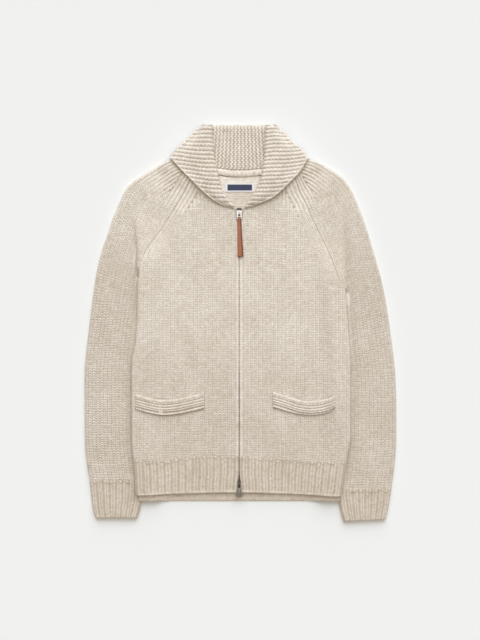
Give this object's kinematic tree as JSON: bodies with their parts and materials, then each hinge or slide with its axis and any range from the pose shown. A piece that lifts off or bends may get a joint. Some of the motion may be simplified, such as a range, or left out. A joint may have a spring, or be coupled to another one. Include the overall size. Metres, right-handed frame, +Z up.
{
  "type": "shawl collar cardigan",
  "caption": "Chunky knitted cardigan laid flat, front up, with a rolled shawl collar, raglan sleeves, a two-way front zip, pocket welts and ribbed hem and cuffs.",
  "frame": {"origin": "middle of the laid garment's outline, on the surface that it lies on", "axes": "+Y from the hem to the collar, +Z up from the surface to the front, +X towards the sleeve on the right as seen from above"},
  "size_m": [0.6218, 0.7916, 0.0286],
  "materials": {
    "oatmeal_wool": "matt",
    "garter_wool": "matt",
    "ribbed_wool": "matt",
    "woven_tape": "matt",
    "navy_weave": "matt",
    "nickel_plated_steel": "satin",
    "dark_steel": "satin",
    "tan_leather": "satin"
  },
  "bodies": {
    "garment": {"back": "oatmeal_wool", "front_left": "oatmeal_wool", "front_right": "oatmeal_wool", "sleeve_left": "oatmeal_wool", "sleeve_right": "oatmeal_wool", "cuff_left": "ribbed_wool", "cuff_right": "ribbed_wool", "hem_back": "ribbed_wool", "hem_front_left": "ribbed_wool", "hem_front_right": "ribbed_wool", "collar_back": "garter_wool", "collar_left": "garter_wool", "collar_right": "garter_wool", "welt_left": "garter_wool", "welt_right": "garter_wool", "zip_tape_left": "woven_tape", "zip_tape_right": "woven_tape", "zip_chain": "dark_steel", "slider_top": "nickel_plated_steel", "slider_bottom": "nickel_plated_steel", "label": "navy_weave"},
    "top_pull": {"pull_top": "nickel_plated_steel", "pull_leather": "tan_leather"},
    "bottom_pull": {"pull_bottom": "nickel_plated_steel"}
  },
  "joints": [
    {"name": "top_pull_hinge", "type": "hinge", "parent": "garment", "child": "top_pull", "pos_m": [-0.0025, 0.2222, 0.0142], "axis": [-1, 0, 0], "range_deg": [0, 150]},
    {"name": "bottom_pull_hinge", "type": "hinge", "parent": "garment", "child": "bottom_pull", "pos_m": [-0.0025, -0.3198, 0.0142], "axis": [-1, 0, 0], "range_deg": [0, 150]}
  ]
}
